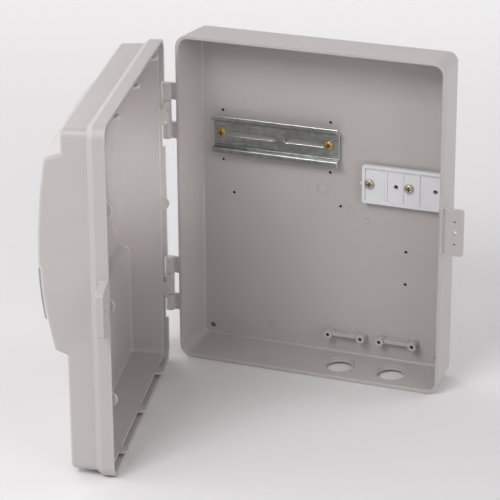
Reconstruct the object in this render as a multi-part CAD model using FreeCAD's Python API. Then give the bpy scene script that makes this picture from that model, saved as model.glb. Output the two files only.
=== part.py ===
import FreeCAD, Part
import math
import os

V = FreeCAD.Vector

# Outline shared by the back box and the lid, in millimetres
box_width = 250.0
box_height = 310.0
corner_radius = 12.0

# Back box moulding
base_depth = 48.5
base_wall = 3.5
back_wall = 3.0
base_draft = 3.5
back_edge_radius = 4.0
inner_edge_radius = 2.0
rim_edge_radius = 0.7

# Wall fixing holes in the four corners of the back, closed by a thin skin that is pierced when fitting
wall_hole_radius = 2.5
wall_hole_from_edge = 15.0
wall_hole_skin = 0.6

# Cable entries in the bottom wall, each with a shallow ring recess
cable_hole_radius = 12.7
cable_ring_width = 2.2
cable_ring_depth = 0.8
cable_hole_spacing = 49.5
cable_holes_from_side = 75.8
cable_hole_from_rim = 21.0

# Clamp posts over the cable entries
post_spacing = 31.4
post_radius = 4.0
post_height = 10.0
post_hole_radius = 1.6
post_hole_depth = 8.0
post_from_bottom = 26.6
posts_left_of_holes = 1.2
post_web_height = 7.0
post_web_thickness = 3.0

# Screws: plain shanks, pan heads with a cross recess
screw_radius = 1.75
screw_clearance = 0.05
head_radius = 4.2
head_height = 2.4
head_edge_radius = 1.2
cross_width = 1.2
cross_length = 4.8
cross_depth = 1.4
skin_behind_screw = 0.8
screw_end_gap = 0.2

# Top-hat rail
rail_height = 35.0
rail_crown_height = 27.0
rail_depth = 7.5
rail_sheet = 1.0
rail_bend_radius = 0.8
rail_length = 120.4
rail_from_side = 80.1
rail_from_top = 101.5
rail_screw_spacing = 103.4
rail_screw_shift = -1.5
rail_slot_height = 4.4
rail_slot_end_overlap = 4.0
rail_bridge_width = 7.6
rail_bridge_shift = 3.7

# Pilot holes for other fittings, as offsets from the rail screws, and two near the side wall
pilot_hole_radius = 1.4
pilot_hole_depth = 2.3
pilot_rows = [(0.0, 20.4), (0.0, -26.9), (10.3, -58.1)]
side_pilot_from_side = 46.9
side_pilots_from_bottom = [114.5, 83.0]

# Short bosses that carry the rail and the terminal plate
boss_radius = 4.5
boss_height = 3.0

# White terminal plate
plate_width = 75.0
plate_height = 35.8
plate_thickness = 4.5
plate_floor = 2.6
plate_rim = 2.6
plate_corner_radius = 1.8
plate_from_side = 49.5
plate_from_top = 132.4
plate_hole_spacing = 61.0
plate_inner_hole_spacing = 12.3
plate_hole_radius = 2.0
plate_rib_offset = 15.2
plate_rib_width = 2.4
plate_rib_height = 0.7
plate_nub_radius = 1.1
plate_nub_reach = 1.8

# Latch flange on the free side of the back box
flange_reach = 18.8
flange_height = 43.0
flange_thickness = 3.2
flange_proud = 1.0
flange_above_middle = 3.0
flange_corner_radius = 2.5
flange_groove_radius = 1.6
lock_hole_radius = 2.1
lock_hole_offset = 11.2
seal_hole_radius = 1.0
seal_hole_spacing = 21.0

# Hinges
hinge_offset = 8.4
hinge_from_end = 71.6
knuckle_radius = 4.1
lid_knuckle_length = 20.0
base_knuckle_length = 15.2
knuckle_gap = 0.6
hinge_arm = 3.2
pin_radius = 1.5
pin_clearance = 0.05
pin_floor = 1.4
hinge_relief = 4.5
hinge_relief_depth = 2.6
close_gap = 0.3

# Lid moulding, with depths counted from its rim
open_angle = 77.5
skirt_depth = 10.5
skirt_wall = 2.8
shoulder_depth = 5.0
lid_inset = 4.0
shell_depth = 37.5
shell_draft = 1.0
shoulder_radius = 2.0
lid_wall = 3.0
channel_width = 2.7
channel_depth = 12.0
inner_wall = 2.0
inner_wall_drop = 4.0
front_edge_radius = 3.0

# Locating tabs round the lid's inner wall
tab_radius = 6.3
tab_reach = 3.4
tab_from_end = 72.0
tab_from_side = 45.0

# Dome on the lid's front, its foot measured where it leaves the lid's front plane
dome_from_top = 16.2
dome_from_bottom = 109.0
dome_crest_from_top = 120.0
dome_crest_rise = 21.8
dome_rise_at_top = 11.1
dome_rise_at_bottom = 10.8
dome_top_radius = 800.0
dome_slope = 0.4
dome_corner_radius = 3.5
dome_wall = 3.0
dome_foot_radius = 9.0

# Clear window flap over the terminal plate, flush in the dome's lowered lower part
flap_width = 84.0
flap_thickness = 1.6
flap_gap = 0.3
flap_below = 39.2
flap_axis_above = 13.4
flap_axis_sink = 2.1
flap_margin_below_axis = 4.2
flap_top_gap = 1.0
flap_corner_radius = 4.0
flap_barrel_radius = 2.1
flap_barrel_gap = 0.4
flap_neck_run = 2.5
flap_pin_radius = 1.0
flap_pin_length = 2.6
flap_pin_clearance = 0.08
flap_pin_end_gap = 0.4
flap_lip_height = 5.0
flap_lip_reach = 3.4
flap_lip_from_edge = 4.0
flap_lip_inset = 22.0

# Window opening in the dome
window_width = 72.0
window_below = 33.6
window_over_axis = 3.5
window_corner_radius = 5.0
window_top_corner_radius = 0.8
lug_width = 4.5
lug_half_height = 3.0
lug_skin = 1.6

# Latch ear on the lid
ear_slope = 5.0
ear_side_gap = 0.6
ear_thickness = 6.3

# How far cutting shapes reach past a face, how far added shapes run into the wall that carries them,
# and how closely a point must match a plane to count as lying in it
cut_over = 1.0
overlap = 0.5
tolerance = 1e-4


def arc_radius(run, drop):
    # Radius of an arc that falls by the drop over the run, level at its start
    return (run * run + drop * drop) / (2 * drop)


# Planes and axes that follow from the sizes above
half_width = box_width / 2
half_height = box_height / 2
wall_hole_x = half_width - wall_hole_from_edge
wall_hole_z = half_height - wall_hole_from_edge
post_z = -half_height + post_from_bottom
rail_centre_x = -half_width + rail_from_side
rail_z = half_height - rail_from_top
rail_bridge_x = rail_centre_x + rail_bridge_shift
plate_centre_x = half_width - plate_from_side
plate_z = half_height - plate_from_top
dome_top = half_height - dome_from_top
dome_bottom = -half_height + dome_from_bottom
dome_crest_z = half_height - dome_crest_from_top
dome_crest_depth = shell_depth + dome_crest_rise
dome_upper_radius = arc_radius(dome_top - dome_crest_z, dome_crest_rise - dome_rise_at_top)
dome_lower_radius = arc_radius(dome_crest_z - dome_bottom, dome_crest_rise - dome_rise_at_bottom)
dome_back_depth = shell_depth - lid_wall - 2 * inner_edge_radius
clear_depth = 2 * dome_crest_depth
flap_recess = flap_thickness + flap_gap
rim_y = -base_depth
floor_y = -back_wall
axis_x = -half_width - hinge_offset
axis_y = rim_y - close_gap / 2
wall_in_inset = skirt_wall + channel_width + inner_wall
hinge_height = lid_knuckle_length + 2 * knuckle_gap + 2 * base_knuckle_length
seat_y = floor_y - boss_height
screw_length_in_base = boss_height + back_wall - skin_behind_screw


def lid_y(depth):
    # Y of a plane at this depth behind the rim of the closed lid
    return rim_y - close_gap - depth


def box(x0, x1, y0, y1, z0, z1):
    return Part.makeBox(x1 - x0, y1 - y0, z1 - z0, V(x0, y0, z0))


def cylinder_y(x, z, y0, y1, radius):
    return Part.makeCylinder(radius, y1 - y0, V(x, y0, z), V(0, 1, 0))


def cylinder_z(x, y, z0, z1, radius):
    return Part.makeCylinder(radius, z1 - z0, V(x, y, z0), V(0, 0, 1))


def fuse(shapes):
    return shapes[0].multiFuse(shapes[1:]).removeSplitter()


def cut(shape, tools):
    return shape.cut(tools)


def rounded_wire(points, radii):
    # Closed wire through the points, each corner rounded by its own radius
    edges = []
    ends = []
    count = len(points)
    for i in range(count):
        corner = points[i]
        before = (points[i - 1] - corner).normalize()
        after = (points[(i + 1) % count] - corner).normalize()
        radius = radii[i]
        if radius == 0:
            ends.append((corner, corner))
            continue
        half = before.getAngle(after) / 2
        run = radius / math.tan(half)
        start = corner + before * run
        end = corner + after * run
        bisector = (before + after).normalize()
        middle = corner + bisector * (radius / math.sin(half) - radius)
        edges.append(Part.Arc(start, middle, end).toShape())
        ends.append((start, end))
    for i in range(count):
        start = ends[i][1]
        end = ends[(i + 1) % count][0]
        edges.append(Part.LineSegment(start, end).toShape())
    return Part.Wire(Part.__sortEdges__(edges))


def outline(inset, y, low_radius=None, high_radius=None, low=None, high=None):
    # Rounded rectangle in a plane of constant Y, set in from the box outline
    x = half_width - inset
    z0 = -half_height + inset if low is None else low
    z1 = half_height - inset if high is None else high
    low_r = corner_radius - inset if low_radius is None else low_radius
    high_r = corner_radius - inset if high_radius is None else high_radius
    points = [V(-x, y, z0), V(x, y, z0), V(x, y, z1), V(-x, y, z1)]
    return rounded_wire(points, [low_r, low_r, high_r, high_r])


def loft(wires):
    return Part.makeLoft(wires, True, True)


def edges_in_plane(shape, y):
    found = []
    for edge in shape.Edges:
        box_of_edge = edge.BoundBox
        if abs(box_of_edge.YMin - y) < tolerance and abs(box_of_edge.YMax - y) < tolerance:
            found.append(edge)
    return found


def base_inset(y):
    # How far the drafted outer wall has come in at this Y
    return base_draft * (y - rim_y) / base_depth


def cable_x():
    centre = half_width - cable_holes_from_side
    return [centre - cable_hole_spacing / 2, centre + cable_hole_spacing / 2]


def post_pair_x():
    return [x - posts_left_of_holes for x in cable_x()]


def rail_screw_x():
    centre = rail_centre_x + rail_screw_shift
    return [centre - rail_screw_spacing / 2, centre + rail_screw_spacing / 2]


def plate_screw_x():
    # The outer left hole and the inner right hole of the plate carry screws
    return [plate_centre_x - plate_hole_spacing / 2, plate_centre_x + plate_inner_hole_spacing / 2]


def hinge_z():
    return [half_height - hinge_from_end, -half_height + hinge_from_end]


def base_shell():
    outer = loft([outline(0, rim_y), outline(base_draft, 0)])
    outer = outer.makeFillet(back_edge_radius, edges_in_plane(outer, 0))
    mouth_y = rim_y - cut_over
    mouth = outline(base_wall + base_inset(mouth_y), mouth_y)
    floor = outline(base_wall + base_inset(floor_y), floor_y)
    inner = loft([mouth, floor])
    inner = inner.makeFillet(inner_edge_radius, edges_in_plane(inner, floor_y))
    shell = outer.cut(inner)
    return shell.makeFillet(rim_edge_radius, edges_in_plane(shell, rim_y))


def base_posts():
    shapes = []
    top_y = floor_y - post_height
    for x in post_pair_x():
        for side in (-1, 1):
            centre = x + side * post_spacing / 2
            shapes.append(cylinder_y(centre, post_z, top_y, floor_y + overlap, post_radius))
        web_z = post_web_thickness / 2
        shapes.append(box(x - post_spacing / 2, x + post_spacing / 2, floor_y - post_web_height,
                          floor_y + overlap, post_z - web_z, post_z + web_z))
    return shapes


def base_bosses():
    shapes = []
    for x in rail_screw_x():
        shapes.append(cylinder_y(x, rail_z, seat_y, floor_y + overlap, boss_radius))
    for x in plate_screw_x():
        shapes.append(cylinder_y(x, plate_z, seat_y, floor_y + overlap, boss_radius))
    return shapes


def base_hinge_parts():
    shapes = []
    for z in hinge_z():
        for side in (-1, 1):
            near = z + side * (lid_knuckle_length / 2 + knuckle_gap)
            far = z + side * hinge_height / 2
            z0 = min(near, far)
            z1 = max(near, far)
            shapes.append(cylinder_z(axis_x, axis_y, z0, z1, knuckle_radius))
            shapes.append(box(axis_x, -half_width + base_wall / 2, axis_y + knuckle_radius - hinge_arm,
                              axis_y + knuckle_radius, z0, z1))
    return shapes


def base_flange():
    x0 = half_width - base_wall / 2
    x1 = half_width + flange_reach
    y = rim_y - flange_proud
    z0 = flange_above_middle - flange_height / 2
    z1 = flange_above_middle + flange_height / 2
    points = [V(x0, y, z0), V(x1, y, z0), V(x1, y, z1), V(x0, y, z1)]
    wire = rounded_wire(points, [0, flange_corner_radius, flange_corner_radius, 0])
    return Part.Face(wire).extrude(V(0, flange_thickness, 0))


def base_cuts():
    tools = []
    for sx in (-1, 1):
        for sz in (-1, 1):
            tools.append(cylinder_y(sx * wall_hole_x, sz * wall_hole_z, floor_y - cut_over,
                                    -wall_hole_skin, wall_hole_radius))
    hole_y = rim_y + cable_hole_from_rim
    inside_z = -half_height + base_wall + base_inset(hole_y)
    for x in cable_x():
        tools.append(cylinder_z(x, hole_y, -half_height - cut_over, inside_z + base_wall,
                                cable_hole_radius))
        tools.append(cylinder_z(x, hole_y, inside_z - cable_ring_depth, inside_z + base_wall,
                                cable_hole_radius + cable_ring_width))
    for x in post_pair_x():
        for side in (-1, 1):
            centre = x + side * post_spacing / 2
            top_y = floor_y - post_height
            tools.append(cylinder_y(centre, post_z, top_y - cut_over, top_y + post_hole_depth,
                                    post_hole_radius))
    pilots = [(x + shift_x, rail_z + shift_z) for shift_x, shift_z in pilot_rows for x in rail_screw_x()]
    pilots += [(half_width - side_pilot_from_side, -half_height + up) for up in side_pilots_from_bottom]
    for x, z in pilots:
        tools.append(cylinder_y(x, z, floor_y - cut_over, floor_y + pilot_hole_depth, pilot_hole_radius))
    screw_places = [(x, rail_z) for x in rail_screw_x()] + [(x, plate_z) for x in plate_screw_x()]
    for x, z in screw_places:
        tools.append(cylinder_y(x, z, seat_y - cut_over, seat_y + screw_length_in_base + screw_end_gap,
                                screw_radius + screw_clearance))
    for z in hinge_z():
        low = z - hinge_height / 2 + pin_floor
        tools.append(cylinder_z(axis_x, axis_y, low, z + hinge_height / 2 + cut_over,
                                pin_radius + pin_clearance))
    front = rim_y - flange_proud - cut_over
    back = rim_y + flange_thickness + cut_over
    lock_x = half_width + lock_hole_offset
    tools.append(cylinder_y(lock_x, flange_above_middle, front, back, lock_hole_radius))
    for side in (-1, 1):
        tools.append(cylinder_y(lock_x, flange_above_middle + side * seal_hole_spacing / 2, front, back,
                                seal_hole_radius))
    groove_x = half_width + flange_groove_radius
    tools.append(cylinder_z(groove_x, rim_y - flange_proud, flange_above_middle - flange_height,
                            flange_above_middle + flange_height, flange_groove_radius))
    return tools


def make_back_box():
    solids = [base_shell(), base_flange()] + base_posts() + base_bosses() + base_hinge_parts()
    return cut(fuse(solids), base_cuts())


def dome_depth(z):
    # Depth of the dome's front, two arcs that meet at its crest
    radius = dome_upper_radius if z > dome_crest_z else dome_lower_radius
    return dome_crest_depth - radius + math.sqrt(radius * radius - (z - dome_crest_z) ** 2)


def dome_arch(offset, x0, x1):
    # Solid behind the dome's front surface, moved back by the offset
    front = lid_y(clear_depth)
    back = lid_y(dome_back_depth)
    halves = []
    for radius, z0, z1 in ((dome_lower_radius, -half_height, dome_crest_z),
                           (dome_upper_radius, dome_crest_z, half_height)):
        centre = V(x0, lid_y(dome_crest_depth - radius), dome_crest_z)
        drum = Part.makeCylinder(radius - offset, x1 - x0, centre, V(1, 0, 0))
        halves.append(drum.common(box(x0, x1, front, back, z0, z1)))
    return fuse(halves)


def shell_inset(depth):
    # How far the drafted side wall of the lid has come in at this depth
    run = shell_depth - skirt_depth - shoulder_depth
    return lid_inset + shell_draft * (depth - skirt_depth - shoulder_depth) / run


def cavity_inset(depth):
    # The same for the drafted side of the space inside
    run = shell_depth - lid_wall - inner_wall_drop
    return wall_in_inset + shell_draft * (depth - inner_wall_drop) / run


def dome_section(depth, inset, offset):
    # Outline of the dome at this depth, its top edge a shallow arc
    x = half_width - inset
    y = lid_y(depth)
    shift = dome_slope * (depth - shell_depth) + offset * math.hypot(1, dome_slope)
    low = dome_bottom + shift
    apex = dome_top - shift
    side = apex - dome_top_radius + math.sqrt(dome_top_radius ** 2 - x ** 2)
    lines = [Part.LineSegment(V(-x, y, side), V(-x, y, low)), Part.LineSegment(V(-x, y, low), V(x, y, low)),
             Part.LineSegment(V(x, y, low), V(x, y, side)),
             Part.Arc(V(x, y, side), V(0, y, apex), V(-x, y, side))]
    return Part.Wire([line.toShape() for line in lines])


def dome_edges(block, on_back):
    # Edges with this many ends in the back plane, apart from the line along the crest
    found = []
    for edge in block.Edges:
        ends = [vertex.Point for vertex in edge.Vertexes]
        touching = [end for end in ends if abs(end.y - lid_y(dome_back_depth)) < tolerance]
        off_crest = [end for end in ends if abs(end.z - dome_crest_z) > tolerance]
        if len(touching) == on_back and off_crest:
            found.append(edge)
    return found


def dome_block(offset, sunk, inset_at, corner, rim):
    # The raised dome or the space inside it, its front moved back by a further sunk depth
    depths = (dome_back_depth, dome_crest_depth)
    block = loft([dome_section(depth, inset_at(depth), offset) for depth in depths])
    block = block.common(dome_arch(offset + sunk, -half_width, half_width))
    block = block.makeFillet(corner, dome_edges(block, 1))
    return block.makeFillet(rim, dome_edges(block, 0))


def dome_step():
    # Height at which the dome's front steps back to take the flap
    return flap_axis()[0] - flap_margin_below_axis + flap_top_gap


def stepped_dome(offset, inset_at, corner, rim):
    # Full dome above the step and the lowered dome below it
    front = lid_y(clear_depth)
    back = lid_y(0)
    upper = box(-half_width, half_width, front, back, dome_step() + offset, half_height)
    lower = box(-half_width, half_width, front, back, -half_height, dome_step() + offset)
    return fuse([dome_block(offset, 0, inset_at, corner, rim).common(upper),
                 dome_block(offset, flap_recess, inset_at, corner, rim).common(lower)])


def dome_foot():
    # Sliver that rounds the inside edge where the dome's lower wall leaves the lid's front
    floor = shell_depth - lid_wall
    low = dome_bottom + dome_slope * (floor - shell_depth) + dome_wall * math.hypot(1, dome_slope)
    corner = V(-half_width, lid_y(floor), low)
    down = V(0, 0, -1)
    in_wall = V(0, -1, dome_slope).normalize()
    half = down.getAngle(in_wall) / 2
    run = dome_foot_radius / math.tan(half)
    middle = corner + (down + in_wall).normalize() * (dome_foot_radius / math.sin(half) - dome_foot_radius)
    ends = [corner + down * run, corner + in_wall * run]
    edges = [Part.LineSegment(ends[1], corner), Part.LineSegment(corner, ends[0]),
             Part.Arc(ends[0], middle, ends[1])]
    prism = Part.Face(Part.Wire([edge.toShape() for edge in edges])).extrude(V(box_width, 0, 0))
    return prism.common(loft([outline(cavity_inset(depth), lid_y(depth), 0, 0)
                              for depth in (dome_back_depth, dome_crest_depth)]))


def lid_outer():
    shoulder_end = skirt_depth + shoulder_depth
    skirt = loft([outline(0, lid_y(0)), outline(0, lid_y(skirt_depth))])
    shoulder = loft([outline(0, lid_y(skirt_depth)), outline(lid_inset, lid_y(shoulder_end))])
    front = outline(lid_inset + shell_draft, lid_y(shell_depth))
    shell = loft([outline(lid_inset, lid_y(shoulder_end)), front])
    shell = shell.makeFillet(front_edge_radius, edges_in_plane(shell, lid_y(shell_depth)))
    body = fuse([skirt, shoulder, shell])
    steps = edges_in_plane(body, lid_y(skirt_depth)) + edges_in_plane(body, lid_y(shoulder_end))
    body = body.makeFillet(shoulder_radius, steps)
    return fuse([body, stepped_dome(0, shell_inset, dome_corner_radius, front_edge_radius)])


def lid_hollow():
    wall_out = skirt_wall + channel_width
    floor = shell_depth - lid_wall
    channel = loft([outline(skirt_wall, lid_y(-cut_over)), outline(skirt_wall, lid_y(channel_depth))])
    core = loft([outline(wall_out, lid_y(depth)) for depth in (inner_wall_drop, channel_depth + cut_over)])
    depths = (inner_wall_drop - cut_over, floor)
    cavity = loft([outline(cavity_inset(depth), lid_y(depth)) for depth in depths])
    cavity = cavity.makeFillet(inner_edge_radius, edges_in_plane(cavity, lid_y(floor)))
    space = fuse([cavity, stepped_dome(dome_wall, cavity_inset, inner_edge_radius, inner_edge_radius)])
    return [channel.cut(core), fuse([space, dome_foot()])]


def tab(centre, along, out):
    # Half-round tab in line with the inner wall, its thickness along the outward direction
    root = centre + V(0, lid_y(inner_wall_drop + overlap), 0)
    neck = centre + V(0, lid_y(tab_radius - tab_reach), 0)
    tip = centre + V(0, lid_y(-tab_reach), 0)
    side = along * tab_radius
    edges = [Part.LineSegment(neck - side, root - side), Part.LineSegment(root - side, root + side),
             Part.LineSegment(root + side, neck + side), Part.Arc(neck + side, tip, neck - side)]
    face = Part.Face(Part.Wire([edge.toShape() for edge in edges]))
    return face.extrude(out * inner_wall)


def lid_tabs():
    shapes = []
    inset = wall_in_inset
    for step in (-1, 0, 1):
        for side in (-1, 1):
            x = side * (half_width - inset)
            shapes.append(tab(V(x, 0, step * (half_height - tab_from_end)), V(0, 0, 1), V(side, 0, 0)))
            z = side * (half_height - inset)
            shapes.append(tab(V(step * (half_width - tab_from_side), 0, z), V(1, 0, 0), V(0, 0, side)))
    return shapes


def lid_hinge_parts():
    shapes = []
    for z in hinge_z():
        z0 = z - lid_knuckle_length / 2
        z1 = z + lid_knuckle_length / 2
        shapes.append(cylinder_z(axis_x, axis_y, z0, z1, knuckle_radius))
        shapes.append(box(axis_x, -half_width + skirt_wall / 2, axis_y - knuckle_radius,
                          axis_y - knuckle_radius + hinge_arm, z0, z1))
    return shapes


def lid_ear():
    x0 = half_width - skirt_wall / 2
    x1 = half_width + flange_reach
    y = lid_y(flange_proud)
    z0 = flange_above_middle - flange_height / 2
    z1 = flange_above_middle + flange_height / 2
    points = [V(x0, y, z0), V(x1, y, z0), V(x1, y, z1 - ear_slope), V(x0, y, z1)]
    wire = rounded_wire(points, [0, flange_corner_radius, flange_corner_radius, 0])
    return Part.Face(wire).extrude(V(0, -ear_thickness, 0))


def flap_axis():
    # Height and depth of the window flap's hinge line
    z = plate_z + flap_axis_above
    return z, dome_depth(z) - flap_axis_sink


def flap_barrel_half():
    return window_width / 2 - flap_barrel_gap


def flap_lugs():
    shapes = []
    z, depth = flap_axis()
    back = lid_y(depth - flap_pin_radius - lug_skin)
    for side in (-1, 1):
        near = side * (window_width / 2 - cut_over)
        far = side * (window_width / 2 + lug_width)
        shapes.append(box(plate_centre_x + min(near, far), plate_centre_x + max(near, far),
                          lid_y(depth + overlap), back, z - lug_half_height, z + lug_half_height))
    return shapes


def lid_cuts():
    tools = []
    for z in hinge_z():
        tools.append(cylinder_z(axis_x, axis_y, z - lid_knuckle_length, z + lid_knuckle_length,
                                pin_radius + pin_clearance))
        for side in (-1, 1):
            near = z + side * lid_knuckle_length / 2
            far = z + side * (hinge_height / 2 + hinge_relief)
            tools.append(box(-half_width - cut_over, -half_width + skirt_wall + cut_over,
                             lid_y(hinge_relief_depth), lid_y(-cut_over), min(near, far), max(near, far)))
    reach = flange_height / 2 + ear_side_gap
    tools.append(box(half_width - base_wall / 2 - ear_side_gap, half_width + flange_reach + cut_over,
                     lid_y(flange_proud), lid_y(-cut_over), flange_above_middle - reach,
                     flange_above_middle + reach))
    lock_x = half_width + lock_hole_offset
    front = lid_y(flange_proud + ear_thickness + cut_over)
    back = lid_y(-cut_over)
    tools.append(cylinder_y(lock_x, flange_above_middle, front, back, lock_hole_radius))
    for side in (-1, 1):
        tools.append(cylinder_y(lock_x, flange_above_middle + side * seal_hole_spacing / 2, front, back,
                                seal_hole_radius))
    z, depth = flap_axis()
    x = window_width / 2
    z0 = plate_z - window_below
    z1 = z + window_over_axis
    y = lid_y(clear_depth)
    points = [V(plate_centre_x - x, y, z0), V(plate_centre_x + x, y, z0),
              V(plate_centre_x + x, y, z1), V(plate_centre_x - x, y, z1)]
    low = window_corner_radius
    high = window_top_corner_radius
    opening = Part.Face(rounded_wire(points, [low, low, high, high]))
    tools.append(opening.extrude(V(0, clear_depth - dome_back_depth, 0)))
    reach = flap_barrel_half() + flap_pin_length + flap_pin_end_gap
    tools.append(Part.makeCylinder(flap_pin_radius + flap_pin_clearance, 2 * reach,
                                   V(plate_centre_x - reach, lid_y(depth), z), V(1, 0, 0)))
    return tools


def opened(shape):
    # Turn a piece of the closed lid about the hinge line to the open rest position
    turned = shape.copy()
    turned.rotate(V(axis_x, axis_y, 0), V(0, 0, 1), -open_angle)
    return turned


def make_lid():
    body = cut(lid_outer(), lid_hollow())
    added = lid_tabs() + lid_hinge_parts() + [lid_ear()] + flap_lugs()
    body = fuse([body] + added)
    return opened(cut(body, lid_cuts()))


def make_window_flap():
    z, depth = flap_axis()
    y = lid_y(depth)
    x = flap_width / 2
    half = flap_barrel_half()
    z0 = plate_z - flap_below
    x0 = plate_centre_x - x
    x1 = plate_centre_x + x
    sheet = dome_arch(0, x0, x1).cut(dome_arch(flap_thickness, x0 - cut_over, x1 + cut_over))
    front = lid_y(clear_depth)
    shoulder = z - flap_margin_below_axis
    top = z - flap_neck_run
    points = [V(x0, front, z0), V(x1, front, z0), V(x1, front, shoulder),
              V(plate_centre_x + half, front, shoulder), V(plate_centre_x + half, front, top),
              V(plate_centre_x - half, front, top), V(plate_centre_x - half, front, shoulder),
              V(x0, front, shoulder)]
    r = flap_corner_radius
    pane = Part.Face(rounded_wire(points, [r, r, r, 0, 0, 0, 0, r]))
    sheet = sheet.common(pane.extrude(V(0, clear_depth - shell_depth, 0)))
    barrel = Part.makeCylinder(flap_barrel_radius, 2 * half, V(plate_centre_x - half, y, z), V(1, 0, 0))
    pin_half = half + flap_pin_length
    pins = Part.makeCylinder(flap_pin_radius, 2 * pin_half, V(plate_centre_x - pin_half, y, z), V(1, 0, 0))
    over = lid_y(dome_depth(top))
    under = over + flap_thickness
    neck_x = plate_centre_x - half
    run = flap_neck_run
    neck_points = [V(neck_x, y - flap_barrel_radius, z), V(neck_x, over, z - run),
                   V(neck_x, under, z - 2 * run), V(neck_x, y, z - flap_barrel_radius), V(neck_x, y, z)]
    neck = Part.Face(rounded_wire(neck_points, [0] * 5)).extrude(V(2 * half, 0, 0))
    lip_z = z0 + flap_lip_from_edge
    surface = dome_depth(lip_z) - flap_thickness / 2
    lip = box(x0 + flap_lip_inset, x1 - flap_lip_inset, lid_y(surface + flap_lip_reach), lid_y(surface),
              lip_z, lip_z + flap_lip_height)
    return opened(fuse([sheet, barrel, pins, neck, lip]))


def make_screw(x, z, seat):
    # Pan-head screw along Y, its head's underside at the seat
    head = Part.makeCylinder(head_radius, head_height, V(x, seat, z), V(0, -1, 0))
    head = head.makeFillet(head_edge_radius, edges_in_plane(head, seat - head_height))
    end = seat_y + screw_length_in_base
    shank = cylinder_y(x, z, seat, end, screw_radius)
    y = seat - head_height
    slots = []
    for long_x, long_z in ((cross_length, cross_width), (cross_width, cross_length)):
        slots.append(box(x - long_x / 2, x + long_x / 2, y, y + cross_depth, z - long_z / 2,
                         z + long_z / 2))
    return cut(fuse([head, shank]), slots)


def make_din_rail():
    x0 = rail_centre_x - rail_length / 2
    front = seat_y - rail_depth
    lip = rail_height / 2
    outer = rail_crown_height / 2
    inner = outer - rail_sheet
    r = rail_bend_radius
    big = rail_bend_radius + rail_sheet
    half = [(lip, front, 0), (inner, front, big), (inner, seat_y - rail_sheet, r)]
    back = [(outer, seat_y, big), (outer, front + rail_sheet, r), (lip, front + rail_sheet, 0)]
    section = [(-z, y, k) for z, y, k in half] + [(z, y, k) for z, y, k in reversed(half)]
    section += [(z, y, k) for z, y, k in reversed(back)] + [(-z, y, k) for z, y, k in back]
    points = [V(x0, y, rail_z + z) for z, y, k in section]
    wire = rounded_wire(points, [k for z, y, k in section])
    rail = Part.Face(wire).extrude(V(rail_length, 0, 0))
    screws = rail_screw_x()
    left = rail_bridge_x - rail_bridge_width / 2
    right = rail_bridge_x + rail_bridge_width / 2
    spans = [(screws[0] - rail_slot_end_overlap, left), (right, screws[1] + rail_slot_end_overlap)]
    h = rail_slot_height / 2
    y0 = seat_y - rail_sheet - cut_over
    y1 = seat_y + cut_over
    slots = []
    for a, b in spans:
        ends = [cylinder_y(x, rail_z, y0, y1, h) for x in (a + h, b - h)]
        slots.append(fuse([box(a + h, b - h, y0, y1, rail_z - h, rail_z + h)] + ends))
    return cut(rail, slots)


def make_terminal_plate():
    w = plate_width / 2
    h = plate_height / 2
    front = seat_y - plate_thickness
    floor = seat_y - plate_floor
    points = [V(plate_centre_x - w, front, plate_z - h), V(plate_centre_x + w, front, plate_z - h),
              V(plate_centre_x + w, front, plate_z + h), V(plate_centre_x - w, front, plate_z + h)]
    block = Part.Face(rounded_wire(points, [plate_corner_radius] * 4)).extrude(V(0, plate_thickness, 0))
    pocket = box(plate_centre_x - w + plate_rim, plate_centre_x + w - plate_rim, front - cut_over, floor,
                 plate_z - h + plate_rim, plate_z + h - plate_rim)
    parts = [block.cut(pocket)]
    for offset in (-plate_rib_offset, 0.0, plate_rib_offset):
        half = plate_rib_width / 2
        x = plate_centre_x + offset
        parts.append(box(x - half, x + half, floor - plate_rib_height, floor + overlap,
                         plate_z - h + plate_rim / 2, plate_z + h - plate_rim / 2))
    nub = Part.makeCylinder(plate_nub_radius, plate_nub_reach + overlap,
                            V(plate_centre_x - w + overlap, seat_y - plate_thickness / 2, plate_z),
                            V(-1, 0, 0))
    parts.append(nub)
    holes = []
    for spacing in (plate_hole_spacing, plate_inner_hole_spacing):
        for side in (-1, 1):
            holes.append(cylinder_y(plate_centre_x + side * spacing / 2, plate_z, front - cut_over,
                                    seat_y + cut_over, plate_hole_radius))
    return cut(fuse(parts), holes)


def make_hinge_pin(z):
    low = z - hinge_height / 2 + pin_floor
    return cylinder_z(axis_x, axis_y, low, z + hinge_height / 2, pin_radius)


def write(name, shape):
    box_of = shape.BoundBox
    print(name, "solids", len(shape.Solids), "valid", shape.isValid(), "volume", round(shape.Volume, 1),
          "z", round(box_of.ZMin, 2), round(box_of.ZMax, 2))
    shape.exportStep("parts/" + name + ".step")


os.makedirs("parts", exist_ok=True)
write("back_box", make_back_box())
write("lid", make_lid())
write("window_flap", make_window_flap())
for name, z in zip(("upper_hinge_pin", "lower_hinge_pin"), hinge_z()):
    write(name, make_hinge_pin(z))
write("din_rail", make_din_rail())
write("terminal_plate", make_terminal_plate())
for name, x in zip(("rail_screw_left", "rail_screw_right"), rail_screw_x()):
    write(name, make_screw(x, rail_z, seat_y - rail_sheet))
for name, x in zip(("plate_screw_left", "plate_screw_right"), plate_screw_x()):
    write(name, make_screw(x, plate_z, seat_y - plate_floor))
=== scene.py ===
import bpy
import math
from mathutils import Matrix, Vector


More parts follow.
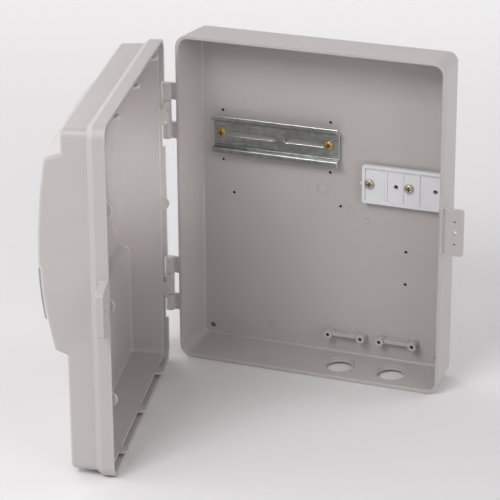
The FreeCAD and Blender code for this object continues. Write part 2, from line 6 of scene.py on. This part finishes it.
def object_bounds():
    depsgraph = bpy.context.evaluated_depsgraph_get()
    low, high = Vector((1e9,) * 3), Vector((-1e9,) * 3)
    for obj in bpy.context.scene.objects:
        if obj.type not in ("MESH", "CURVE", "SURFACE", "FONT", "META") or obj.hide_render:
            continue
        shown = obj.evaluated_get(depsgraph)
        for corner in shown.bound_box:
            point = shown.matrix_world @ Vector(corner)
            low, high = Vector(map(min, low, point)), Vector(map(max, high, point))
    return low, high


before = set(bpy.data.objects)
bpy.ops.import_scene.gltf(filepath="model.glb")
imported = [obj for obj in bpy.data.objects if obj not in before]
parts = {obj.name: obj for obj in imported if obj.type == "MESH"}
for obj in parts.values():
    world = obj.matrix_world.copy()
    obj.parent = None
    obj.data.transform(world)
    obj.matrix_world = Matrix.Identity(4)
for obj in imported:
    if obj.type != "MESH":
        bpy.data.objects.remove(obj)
cad_low, cad_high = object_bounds()

# Back box.
# A deep tray injection-moulded in light grey plastic, with a fine satin grain and faint round ejector
# marks on its floor. Posts, bosses, hinge knuckles and the latch flange are moulded on with it.


def add(tree, kind, **settings):
    made = tree.nodes.new(kind)
    for name, value in settings.items():
        setattr(made, name, value)
    return made


def join(tree, source, target):
    tree.links.new(source, target)


def group(name, inputs, outputs):
    made = bpy.data.node_groups.new(name, "ShaderNodeTree")
    for label, kind, default in inputs:
        socket = made.interface.new_socket(label, in_out="INPUT", socket_type=kind)
        if default is not None:
            socket.default_value = default
    for label, kind in outputs:
        made.interface.new_socket(label, in_out="OUTPUT", socket_type=kind)
    return made, made.nodes.new("NodeGroupInput"), made.nodes.new("NodeGroupOutput")


def place(tree, named_group, **values):
    # Socket names are given with underscores in place of their blanks
    made = add(tree, "ShaderNodeGroup", node_tree=named_group)
    for label, value in values.items():
        made.inputs[label.replace("_", " ")].default_value = value
    return made


def new_material(name, metallic=0.0, specular=0.5):
    made = bpy.data.materials.new(name)
    made.use_nodes = True
    tree = made.node_tree
    shader = tree.nodes["Principled BSDF"]
    shader.inputs["Metallic"].default_value = metallic
    shader.inputs["Specular IOR Level"].default_value = specular
    return made, tree, shader


def show_surface(tree, surface, shader):
    join(tree, surface.outputs["Colour"], shader.inputs["Base Color"])
    join(tree, surface.outputs["Roughness"], shader.inputs["Roughness"])
    join(tree, surface.outputs["Normal"], shader.inputs["Normal"])


def finish(node_name, material):
    parts[node_name].material_slots[0].material = material


# Soft edge: rounds the look of edges; masks the edges and, for painted shade, narrow holes and grooves
soft_edge, edge_in, edge_out = group(
    "soft edge", [("Radius", "NodeSocketFloat", 0.0006), ("Hollow start", "NodeSocketFloat", 0.52),
                  ("Hollow full", "NodeSocketFloat", 0.24)],
    [("Normal", "NodeSocketVector"), ("Edge", "NodeSocketFloat"), ("Hollow", "NodeSocketFloat")])
bevel = add(soft_edge, "ShaderNodeBevel", samples=6)
true_normal = add(soft_edge, "ShaderNodeNewGeometry")
across = add(soft_edge, "ShaderNodeVectorMath", operation="DOT_PRODUCT")
edge_ramp = add(soft_edge, "ShaderNodeMapRange")
edge_ramp.inputs["From Min"].default_value = 0.995
edge_ramp.inputs["From Max"].default_value = 0.86
openness = add(soft_edge, "ShaderNodeAmbientOcclusion", samples=12, only_local=True)
openness.inputs["Distance"].default_value = 0.005
# How closed in a point is within 5 mm picks the holes and grooves that get painted shade
painted_shade_ramp = add(soft_edge, "ShaderNodeMapRange")
join(soft_edge, edge_in.outputs["Radius"], bevel.inputs["Radius"])
join(soft_edge, bevel.outputs["Normal"], across.inputs[0])
join(soft_edge, true_normal.outputs["Normal"], across.inputs[1])
join(soft_edge, across.outputs["Value"], edge_ramp.inputs["Value"])
join(soft_edge, openness.outputs["AO"], painted_shade_ramp.inputs["Value"])
join(soft_edge, edge_in.outputs["Hollow start"], painted_shade_ramp.inputs["From Min"])
join(soft_edge, edge_in.outputs["Hollow full"], painted_shade_ramp.inputs["From Max"])
join(soft_edge, bevel.outputs["Normal"], edge_out.inputs["Normal"])
join(soft_edge, edge_ramp.outputs["Result"], edge_out.inputs["Edge"])
join(soft_edge, painted_shade_ramp.outputs["Result"], edge_out.inputs["Hollow"])

# Moulded skin: satin grain, slow drift of tone, thin flow streaks, and rubs and painted highlight on edges
moulded, skin_in, skin_out = group(
    "moulded skin",
    [("Colour", "NodeSocketColor", (0.5, 0.5, 0.5, 1)), ("Shade", "NodeSocketColor", (0.4, 0.4, 0.4, 1)),
     ("Rub", "NodeSocketColor", (0.6, 0.6, 0.6, 1)), ("Edge", "NodeSocketFloat", 0.0),
     ("Hollow", "NodeSocketFloat", 0.0), ("Depth", "NodeSocketColor", (0.03, 0.028, 0.028, 1)),
     ("Normal", "NodeSocketVector", None), ("Grain size", "NodeSocketFloat", 2600.0),
     ("Grain depth", "NodeSocketFloat", 0.00003), ("Drift", "NodeSocketFloat", 0.35),
     ("Roughness low", "NodeSocketFloat", 0.29), ("Roughness high", "NodeSocketFloat", 0.38)],
    [("Colour", "NodeSocketColor"), ("Roughness", "NodeSocketFloat"), ("Normal", "NodeSocketVector")])
where = add(moulded, "ShaderNodeTexCoord")
drift = add(moulded, "ShaderNodeTexNoise")
drift.inputs["Scale"].default_value = 9.0
drift.inputs["Detail"].default_value = 3.0
stretch = add(moulded, "ShaderNodeMapping")
stretch.inputs["Scale"].default_value = (14.0, 14.0, 46.0)
streaks = add(moulded, "ShaderNodeTexNoise")
streaks.inputs["Scale"].default_value = 1.0
streaks.inputs["Detail"].default_value = 4.0
tone = add(moulded, "ShaderNodeMath", operation="MULTIPLY_ADD")
tone.inputs[1].default_value = 0.6
tone_range = add(moulded, "ShaderNodeMapRange")
tone_range.inputs["From Min"].default_value = 0.62
tone_range.inputs["From Max"].default_value = 1.0
tone_amount = add(moulded, "ShaderNodeMath", operation="MULTIPLY")
shaded = add(moulded, "ShaderNodeMix", data_type="RGBA")
rub_and_highlight_noise = add(moulded, "ShaderNodeTexNoise")
rub_and_highlight_noise.inputs["Scale"].default_value = 60.0
rub_and_highlight_noise.inputs["Detail"].default_value = 6.0
rub_and_highlight_amount = add(moulded, "ShaderNodeMath", operation="MULTIPLY")
rubbed_and_highlighted = add(moulded, "ShaderNodeMix", data_type="RGBA")
painted_hollow_shade = add(moulded, "ShaderNodeMix", data_type="RGBA")
grain = add(moulded, "ShaderNodeTexNoise")
grain.inputs["Detail"].default_value = 3.0
grain.inputs["Roughness"].default_value = 0.65
gloss = add(moulded, "ShaderNodeMapRange")
grain_bump = add(moulded, "ShaderNodeBump")
grain_bump.inputs["Strength"].default_value = 0.6
join(moulded, where.outputs["Object"], drift.inputs["Vector"])
join(moulded, where.outputs["Object"], stretch.inputs["Vector"])
join(moulded, stretch.outputs["Vector"], streaks.inputs["Vector"])
join(moulded, streaks.outputs["Fac"], tone.inputs[0])
join(moulded, drift.outputs["Fac"], tone.inputs[2])
join(moulded, tone.outputs["Value"], tone_range.inputs["Value"])
join(moulded, tone_range.outputs["Result"], tone_amount.inputs[0])
join(moulded, skin_in.outputs["Drift"], tone_amount.inputs[1])
join(moulded, tone_amount.outputs["Value"], shaded.inputs["Factor"])
join(moulded, skin_in.outputs["Colour"], shaded.inputs["A"])
join(moulded, skin_in.outputs["Shade"], shaded.inputs["B"])
join(moulded, where.outputs["Object"], rub_and_highlight_noise.inputs["Vector"])
# Edges take the lighter colour, partly rub wear and partly painted highlight
join(moulded, skin_in.outputs["Edge"], rub_and_highlight_amount.inputs[0])
join(moulded, rub_and_highlight_noise.outputs["Fac"], rub_and_highlight_amount.inputs[1])
join(moulded, rub_and_highlight_amount.outputs["Value"], rubbed_and_highlighted.inputs["Factor"])
join(moulded, shaded.outputs["Result"], rubbed_and_highlighted.inputs["A"])
join(moulded, skin_in.outputs["Rub"], rubbed_and_highlighted.inputs["B"])
join(moulded, where.outputs["Object"], grain.inputs["Vector"])
join(moulded, skin_in.outputs["Grain size"], grain.inputs["Scale"])
join(moulded, drift.outputs["Fac"], gloss.inputs["Value"])
join(moulded, skin_in.outputs["Roughness low"], gloss.inputs["To Min"])
join(moulded, skin_in.outputs["Roughness high"], gloss.inputs["To Max"])
join(moulded, grain.outputs["Fac"], grain_bump.inputs["Height"])
join(moulded, skin_in.outputs["Grain depth"], grain_bump.inputs["Distance"])
join(moulded, skin_in.outputs["Normal"], grain_bump.inputs["Normal"])
# Narrow holes and grooves take the dark colour: painted shade
join(moulded, skin_in.outputs["Hollow"], painted_hollow_shade.inputs["Factor"])
join(moulded, rubbed_and_highlighted.outputs["Result"], painted_hollow_shade.inputs["A"])
join(moulded, skin_in.outputs["Depth"], painted_hollow_shade.inputs["B"])
join(moulded, painted_hollow_shade.outputs["Result"], skin_out.inputs["Colour"])
join(moulded, gloss.outputs["Result"], skin_out.inputs["Roughness"])
join(moulded, grain_bump.outputs["Normal"], skin_out.inputs["Normal"])

# Ejector mark: a faint raised ring round one point, worked out from the distance to it
ejector, ring_in, ring_out = group(
    "ejector mark",
    [("Height", "NodeSocketFloat", 0.0), ("Centre", "NodeSocketVector", (0, 0, 0)),
     ("Radius", "NodeSocketFloat", 0.004), ("Width", "NodeSocketFloat", 0.0004)],
    [("Height", "NodeSocketFloat")])
ring_place = add(ejector, "ShaderNodeTexCoord")
ring_distance = add(ejector, "ShaderNodeVectorMath", operation="DISTANCE")
ring_gap = add(ejector, "ShaderNodeMath", operation="SUBTRACT")
ring_size = add(ejector, "ShaderNodeMath", operation="ABSOLUTE")
ring_share = add(ejector, "ShaderNodeMath", operation="DIVIDE", use_clamp=True)
ring_rise = add(ejector, "ShaderNodeMath", operation="SUBTRACT")
ring_rise.inputs[0].default_value = 1.0
ring_sum = add(ejector, "ShaderNodeMath", operation="ADD")
join(ejector, ring_place.outputs["Object"], ring_distance.inputs[0])
join(ejector, ring_in.outputs["Centre"], ring_distance.inputs[1])
join(ejector, ring_distance.outputs["Value"], ring_gap.inputs[0])
join(ejector, ring_in.outputs["Radius"], ring_gap.inputs[1])
join(ejector, ring_gap.outputs["Value"], ring_size.inputs[0])
join(ejector, ring_size.outputs["Value"], ring_share.inputs[0])
join(ejector, ring_in.outputs["Width"], ring_share.inputs[1])
join(ejector, ring_share.outputs["Value"], ring_rise.inputs[1])
join(ejector, ring_rise.outputs["Value"], ring_sum.inputs[0])
join(ejector, ring_in.outputs["Height"], ring_sum.inputs[1])
join(ejector, ring_sum.outputs["Value"], ring_out.inputs["Height"])

grey = (0.500, 0.469, 0.459, 1)
grey_shade = (0.450, 0.420, 0.409, 1)
# The lighter colour for edges: partly rub wear, partly painted highlight
grey_rub_and_highlight = (1.0, 0.98, 0.96, 1)
base_floor = -0.003

box_plastic, box_tree, box_shader = new_material("grey plastic of the back box", specular=0.28)
box_edge = place(box_tree, soft_edge, Radius=0.0007)
box_skin = place(box_tree, moulded, Colour=grey, Shade=grey_shade, Rub=grey_rub_and_highlight)
# Each mark: its place across and up on the floor of the tray, and its radius
marks = [(-0.0009, 0.0112, 0.0043), (-0.0009, 0.0112, 0.0058), (-0.1006, -0.0047, 0.0032),
         (0.0405, -0.0151, 0.0028), (0.0253, -0.0059, 0.0028), (-0.050, -0.130, 0.0036)]
height = None
for x, z, radius in marks:
    mark = place(box_tree, ejector, Centre=(x, base_floor, z), Radius=radius, Width=0.0009)
    if height is not None:
        join(box_tree, height, mark.inputs["Height"])
    height = mark.outputs["Height"]
mark_bump = add(box_tree, "ShaderNodeBump")
mark_bump.inputs["Strength"].default_value = 0.5
mark_bump.inputs["Distance"].default_value = 0.0009
join(box_tree, height, mark_bump.inputs["Height"])
join(box_tree, box_edge.outputs["Normal"], mark_bump.inputs["Normal"])
join(box_tree, mark_bump.outputs["Normal"], box_skin.inputs["Normal"])
join(box_tree, box_edge.outputs["Edge"], box_skin.inputs["Edge"])
# Narrow holes and grooves in the box are darkened with painted shade
join(box_tree, box_edge.outputs["Hollow"], box_skin.inputs["Hollow"])
show_surface(box_tree, box_skin, box_shader)
finish("back_box", box_plastic)

# Lid.
# The same grey plastic, moulded with the domed front, the double rim with its channel, the locating
# tabs, the hinge knuckles and the latch ear. It hangs open on the two hinge pins.
lid_plastic, lid_tree, lid_shader = new_material("grey plastic of the lid", specular=0.28)
lid_edge = place(lid_tree, soft_edge, Radius=0.0009)
lid_skin = place(lid_tree, moulded, Colour=(0.508, 0.480, 0.469, 1), Shade=(0.460, 0.432, 0.420, 1),
                 Rub=grey_rub_and_highlight, Drift=0.3)
join(lid_tree, lid_edge.outputs["Normal"], lid_skin.inputs["Normal"])
# The lid's edges are lightened, partly rub wear and partly painted highlight
join(lid_tree, lid_edge.outputs["Edge"], lid_skin.inputs["Edge"])
show_surface(lid_tree, lid_skin, lid_shader)
finish("lid", lid_plastic)

# Window flap.
# A curved pane moulded in clear plastic, with its own hinge barrel, stub pins and finger lip. It snaps
# into the top of the window opening in the dome. Its cut edges look violet.
clear_plastic, flap_tree, flap_shader = new_material("clear plastic of the window flap")
flap_shader.inputs["Transmission Weight"].default_value = 1.0
flap_shader.inputs["IOR"].default_value = 1.5
# The flap's two side faces look along the lid's width, which the opened lid has swung round by this angle
lid_open = math.radians(77.5)
flap_side = (math.cos(lid_open), -math.sin(lid_open), 0.0)
# Side faces painted dark violet and less clear: the plastic's edge-on tint and painted shade
flap_facing = add(flap_tree, "ShaderNodeVectorMath", operation="DOT_PRODUCT")
flap_facing.inputs[1].default_value = flap_side
flap_both = add(flap_tree, "ShaderNodeMath", operation="ABSOLUTE")
flap_mask = add(flap_tree, "ShaderNodeMapRange")
flap_mask.inputs["From Min"].default_value = 0.55
flap_mask.inputs["From Max"].default_value = 0.9
flap_clear = add(flap_tree, "ShaderNodeMapRange")
flap_clear.inputs["To Min"].default_value = 0.22
flap_clear.inputs["To Max"].default_value = 0.62
flap_edge_tint_and_shade = add(flap_tree, "ShaderNodeMix", data_type="RGBA")
flap_edge_tint_and_shade.inputs["A"].default_value = (0.93, 0.93, 0.96, 1)
flap_edge_tint_and_shade.inputs["B"].default_value = (0.04, 0.035, 0.09, 1)
flap_where = add(flap_tree, "ShaderNodeTexCoord")
flap_haze = add(flap_tree, "ShaderNodeTexNoise")
flap_haze.inputs["Scale"].default_value = 70.0
flap_haze.inputs["Detail"].default_value = 5.0
flap_gloss = add(flap_tree, "ShaderNodeMapRange")
flap_gloss.inputs["To Min"].default_value = 0.02
flap_gloss.inputs["To Max"].default_value = 0.09
flap_ripple = add(flap_tree, "ShaderNodeBump")
flap_ripple.inputs["Strength"].default_value = 0.25
flap_ripple.inputs["Distance"].default_value = 0.00005
join(flap_tree, flap_where.outputs["Normal"], flap_facing.inputs[0])
join(flap_tree, flap_facing.outputs["Value"], flap_both.inputs[0])
join(flap_tree, flap_both.outputs["Value"], flap_mask.inputs["Value"])
join(flap_tree, flap_mask.outputs["Result"], flap_edge_tint_and_shade.inputs["Factor"])
join(flap_tree, flap_mask.outputs["Result"], flap_clear.inputs["Value"])
join(flap_tree, flap_clear.outputs["Result"], flap_shader.inputs["Alpha"])
join(flap_tree, flap_edge_tint_and_shade.outputs["Result"], flap_shader.inputs["Base Color"])
join(flap_tree, flap_where.outputs["Object"], flap_haze.inputs["Vector"])
join(flap_tree, flap_haze.outputs["Fac"], flap_gloss.inputs["Value"])
join(flap_tree, flap_gloss.outputs["Result"], flap_shader.inputs["Roughness"])
join(flap_tree, flap_haze.outputs["Fac"], flap_ripple.inputs["Height"])
join(flap_tree, flap_ripple.outputs["Normal"], flap_shader.inputs["Normal"])
finish("window_flap", clear_plastic)

# Hinge pins.
# Plain drawn steel rods pushed through the knuckles of the back box and the lid.

# Worked metal: rolling or drawing lines, cloudy plating and a change of gloss along them
# Edges get a painted highlight and narrow holes and grooves a painted shade
worked, metal_in, metal_out = group(
    "worked metal",
    [("Colour", "NodeSocketColor", (0.6, 0.6, 0.6, 1)), ("Cloud", "NodeSocketColor", (0.5, 0.5, 0.5, 1)),
     ("Line stretch", "NodeSocketVector", (40.0, 2600.0, 2600.0)), ("Cloud size", "NodeSocketFloat", 120.0),
     ("Line depth", "NodeSocketFloat", 0.00001), ("Roughness low", "NodeSocketFloat", 0.28),
     ("Roughness high", "NodeSocketFloat", 0.46), ("Normal", "NodeSocketVector", None),
     ("Hollow", "NodeSocketFloat", 0.0), ("Depth", "NodeSocketColor", (0.05, 0.04, 0.03, 1)),
     ("Edge", "NodeSocketFloat", 0.0), ("Bright", "NodeSocketColor", (0.8, 0.8, 0.8, 1))],
    [("Colour", "NodeSocketColor"), ("Roughness", "NodeSocketFloat"), ("Normal", "NodeSocketVector")])
metal_where = add(worked, "ShaderNodeTexCoord")
metal_stretch = add(worked, "ShaderNodeVectorMath", operation="MULTIPLY")
lines = add(worked, "ShaderNodeTexNoise")
lines.inputs["Scale"].default_value = 1.0
lines.inputs["Detail"].default_value = 4.0
cloud = add(worked, "ShaderNodeTexVoronoi", feature="SMOOTH_F1")
cloud.inputs["Smoothness"].default_value = 0.9
cloud_mix = add(worked, "ShaderNodeMix", data_type="RGBA")
streaked = add(worked, "ShaderNodeMath", operation="MULTIPLY_ADD", use_clamp=True)
streaked.inputs[1].default_value = 2.2
streak_shift = add(worked, "ShaderNodeMath", operation="SUBTRACT")
streak_shift.inputs[1].default_value = 1.0
painted_edge_highlight = add(worked, "ShaderNodeMix", data_type="RGBA")
metal_painted_hollow_shade = add(worked, "ShaderNodeMix", data_type="RGBA")
line_gloss = add(worked, "ShaderNodeMapRange")
line_bump = add(worked, "ShaderNodeBump")
line_bump.inputs["Strength"].default_value = 0.5
join(worked, metal_where.outputs["Object"], metal_stretch.inputs[0])
join(worked, metal_in.outputs["Line stretch"], metal_stretch.inputs[1])
join(worked, metal_stretch.outputs["Vector"], lines.inputs["Vector"])
join(worked, metal_where.outputs["Object"], cloud.inputs["Vector"])
join(worked, metal_in.outputs["Cloud size"], cloud.inputs["Scale"])
join(worked, cloud.outputs["Distance"], streak_shift.inputs[0])
join(worked, lines.outputs["Fac"], streaked.inputs[0])
join(worked, streak_shift.outputs["Value"], streaked.inputs[2])
join(worked, streaked.outputs["Value"], cloud_mix.inputs["Factor"])
join(worked, metal_in.outputs["Colour"], cloud_mix.inputs["A"])
join(worked, metal_in.outputs["Cloud"], cloud_mix.inputs["B"])
join(worked, lines.outputs["Fac"], line_gloss.inputs["Value"])
join(worked, metal_in.outputs["Roughness low"], line_gloss.inputs["To Min"])
join(worked, metal_in.outputs["Roughness high"], line_gloss.inputs["To Max"])
join(worked, lines.outputs["Fac"], line_bump.inputs["Height"])
join(worked, metal_in.outputs["Line depth"], line_bump.inputs["Distance"])
join(worked, metal_in.outputs["Normal"], line_bump.inputs["Normal"])
# Narrow holes and grooves take the dark colour: painted shade
join(worked, metal_in.outputs["Hollow"], metal_painted_hollow_shade.inputs["Factor"])
# Edges take the Bright colour: painted highlight
join(worked, metal_in.outputs["Edge"], painted_edge_highlight.inputs["Factor"])
join(worked, cloud_mix.outputs["Result"], painted_edge_highlight.inputs["A"])
join(worked, metal_in.outputs["Bright"], painted_edge_highlight.inputs["B"])
join(worked, painted_edge_highlight.outputs["Result"], metal_painted_hollow_shade.inputs["A"])
join(worked, metal_in.outputs["Depth"], metal_painted_hollow_shade.inputs["B"])
join(worked, metal_painted_hollow_shade.outputs["Result"], metal_out.inputs["Colour"])
join(worked, line_gloss.outputs["Result"], metal_out.inputs["Roughness"])
join(worked, line_bump.outputs["Normal"], metal_out.inputs["Normal"])


def metal_finish(name, edge_radius, **values):
    made, tree, shader = new_material(name, metallic=1.0)
    # Its edges get painted highlight and its narrow holes and grooves painted shade
    rim = place(tree, soft_edge, Radius=edge_radius, Hollow_start=0.80, Hollow_full=0.42)
    surface = place(tree, worked, **values)
    join(tree, rim.outputs["Normal"], surface.inputs["Normal"])
    join(tree, rim.outputs["Hollow"], surface.inputs["Hollow"])
    join(tree, rim.outputs["Edge"], surface.inputs["Edge"])
    show_surface(tree, surface, shader)
    return made


pin_steel = metal_finish("drawn steel of the hinge pins", 0.0002, Colour=(0.55, 0.55, 0.56, 1),
                         Cloud=(0.46, 0.46, 0.47, 1), Line_stretch=(2600.0, 2600.0, 60.0))
finish("upper_hinge_pin", pin_steel)
finish("lower_hinge_pin", pin_steel)

# Top-hat rail.
# Steel strip rolled to the standard section and zinc-plated, with two long slots. It lies on two
# bosses in the back box.
# The rail's edges get a near-white painted highlight
rail_steel = metal_finish("zinc plating of the rail", 0.0010, Colour=(0.48, 0.50, 0.49, 1),
                          Cloud=(0.28, 0.30, 0.29, 1), Bright=(0.95, 0.96, 0.95, 1),
                          Line_stretch=(60.0, 2200.0, 2200.0),
                          Cloud_size=170.0, Line_depth=0.00002, Roughness_low=0.16, Roughness_high=0.36)
finish("din_rail", rail_steel)

# Rail screws.
# Pan-head steel screws with a cross recess and a yellow zinc plating, driven into the bosses.
yellow_zinc = metal_finish("yellow zinc plating of the rail screws", 0.0002,
                           Colour=(0.64, 0.43, 0.17, 1), Cloud=(0.44, 0.27, 0.10, 1),
                           Bright=(0.80, 0.62, 0.32, 1), Line_stretch=(900.0, 900.0, 900.0),
                           Cloud_size=420.0, Roughness_low=0.2, Roughness_high=0.36)
finish("rail_screw_left", yellow_zinc)
finish("rail_screw_right", yellow_zinc)

# Terminal plate.
# A shallow tray moulded in glossy white plastic, with cross ribs and four holes. Two brass screws hold
# it on bosses in the back box.
white_plastic, plate_tree, plate_shader = new_material("white plastic of the terminal plate")
plate_shader.inputs["Coat Weight"].default_value = 0.35
plate_shader.inputs["Coat Roughness"].default_value = 0.1
plate_edge = place(plate_tree, soft_edge, Radius=0.0005)
plate_skin = place(plate_tree, moulded, Colour=(0.76, 0.76, 0.79, 1), Shade=(0.71, 0.71, 0.74, 1),
                   Rub=(0.86, 0.85, 0.86, 1), Drift=0.5, Grain_size=900.0, Grain_depth=0.000012,
                   Roughness_low=0.24, Roughness_high=0.34)
join(plate_tree, plate_edge.outputs["Normal"], plate_skin.inputs["Normal"])
# The plate's edges are lightened, partly rub wear and partly painted highlight
join(plate_tree, plate_edge.outputs["Edge"], plate_skin.inputs["Edge"])
show_surface(plate_tree, plate_skin, plate_shader)
finish("terminal_plate", white_plastic)

plate_brass = metal_finish("brass of the plate screws", 0.0002,
                           Colour=(0.56, 0.52, 0.41, 1), Cloud=(0.38, 0.34, 0.24, 1),
                           Bright=(0.80, 0.77, 0.66, 1), Line_stretch=(900.0, 900.0, 900.0),
                           Cloud_size=420.0, Roughness_low=0.18, Roughness_high=0.34)
finish("plate_screw_left", plate_brass)
finish("plate_screw_right", plate_brass)

# Photographer's floor.
# A seamless white sheet that the box stands on, wide enough to fill the view and to bounce light up.
floor_half = 1.5
floor_gap = 0.0002
floor_z = cad_low[2] - floor_gap
sheet_mesh = bpy.data.meshes.new("floor_sheet")
sheet_mesh.from_pydata([(-floor_half, -floor_half, floor_z), (floor_half, -floor_half, floor_z),
                        (floor_half, floor_half, floor_z), (-floor_half, floor_half, floor_z)],
                       [], [(0, 1, 2, 3)])
floor_sheet = bpy.data.objects.new("floor_sheet", sheet_mesh)
bpy.context.scene.collection.objects.link(floor_sheet)
paper, _, paper_shader = new_material("white paper", specular=0.2)
paper_shader.inputs["Base Color"].default_value = (0.80, 0.79, 0.80, 1)
paper_shader.inputs["Roughness"].default_value = 0.9
sheet_mesh.materials.append(paper)

# Studio light.
# Soft boxes in front, above, on both sides and behind, two small ones near the box, a low one on the
# lid's outside, one over the floor behind, two narrow beams on the open lid, and an even white room.


def soft_box(name, place_at, aim, width, height, power, spread=180):
    lamp = bpy.data.lights.new(name, "AREA")
    lamp.shape = "RECTANGLE"
    lamp.size = width
    lamp.size_y = height
    lamp.energy = power
    lamp.spread = math.radians(spread)
    holder = bpy.data.objects.new(name, lamp)
    holder.location = place_at
    holder.rotation_mode = "QUATERNION"
    holder.rotation_quaternion = (Vector(aim) - Vector(place_at)).to_track_quat("-Z", "Y")
    bpy.context.scene.collection.objects.link(holder)


box_middle = (0.0, -0.1, 0.0)
beam_at = (0.55, -0.55, 0.30)
soft_box("top_front_light", (-0.4, -1.8, 1.6), box_middle, 0.9, 0.9, 19.8)
soft_box("left_light", (-1.9, -0.5, 0.7), box_middle, 1.4, 1.2, 7.0)
soft_box("left_back_light", (-1.6, 1.0, 1.1), box_middle, 1.4, 1.2, 11.4)
soft_box("right_light", (1.7, -0.9, 0.7), box_middle, 1.2, 1.2, 8.2)
soft_box("right_back_light", (1.6, 1.0, 1.0), box_middle, 1.4, 1.2, 12.6)
soft_box("front_light", (0.3, -2.4, 0.5), box_middle, 1.4, 1.0, 0.9)
soft_box("near_left_light", (-0.5, -0.8, 0.7), box_middle, 0.6, 0.6, 1.9)
soft_box("near_right_light", (0.5, -0.6, 0.7), box_middle, 0.6, 0.6, 0.5)
soft_box("lid_front_light", (-1.1, -0.55, 0.15), (-0.22, -0.2, 0.0), 0.4, 0.4, 1.8)
soft_box("backdrop_light", (-0.3, 1.5, 1.2), (-0.3, 1.48, -0.15), 1.8, 0.8, 3.3, spread=90)
soft_box("lid_spot", beam_at, (-0.160, -0.070, 0.030), 0.06, 0.10, 0.0125, spread=8)
soft_box("lid_glow", beam_at, (-0.160, -0.070, 0.035), 0.06, 0.12, 0.0118, spread=14)

world = bpy.data.worlds.new("white room")
bpy.context.scene.world = world
world.use_nodes = True
room = world.node_tree
backdrop = room.nodes["Background"]
seen = add(room, "ShaderNodeLightPath")
seen_direct = add(room, "ShaderNodeMath", operation="MAXIMUM")
seen_any = add(room, "ShaderNodeMath", operation="MAXIMUM")
room_mix = add(room, "ShaderNodeMix", data_type="RGBA")
room_mix.inputs["A"].default_value = (0.275, 0.27, 0.27, 1)
room_mix.inputs["B"].default_value = (0.80, 0.79, 0.80, 1)
join(room, seen.outputs["Is Camera Ray"], seen_direct.inputs[0])
join(room, seen.outputs["Is Glossy Ray"], seen_direct.inputs[1])
join(room, seen_direct.outputs["Value"], seen_any.inputs[0])
join(room, seen.outputs["Is Transmission Ray"], seen_any.inputs[1])
join(room, seen_any.outputs["Value"], room_mix.inputs["Factor"])
join(room, room_mix.outputs["Result"], backdrop.inputs["Color"])

# Camera.
# A long lens to the right of the box and above it, as in the photograph.
camera_at = Vector((0.66487, -1.88251, 0.75089))
turn = math.radians(21.42)
tilt = math.radians(21.87)
roll = math.radians(-0.30)
ahead = Vector((-math.sin(turn) * math.cos(tilt), math.cos(turn) * math.cos(tilt), -math.sin(tilt)))
level = Vector((math.cos(turn), math.sin(turn), 0))
upright = level.cross(ahead)
right = level * math.cos(roll) + upright * math.sin(roll)
above = upright * math.cos(roll) - level * math.sin(roll)
picture_width = 500
focal_in_pixels = 2355.24
lens = bpy.data.cameras.new("camera")
lens.sensor_width = 36.0
lens.lens = lens.sensor_width * focal_in_pixels / picture_width
camera = bpy.data.objects.new("camera", lens)
camera.matrix_world = Matrix((
    (right.x, above.x, -ahead.x, camera_at.x), (right.y, above.y, -ahead.y, camera_at.y),
    (right.z, above.z, -ahead.z, camera_at.z), (0, 0, 0, 1)))
bpy.context.scene.collection.objects.link(camera)
bpy.context.scene.camera = camera
bpy.context.scene.view_settings.view_transform = "Standard"
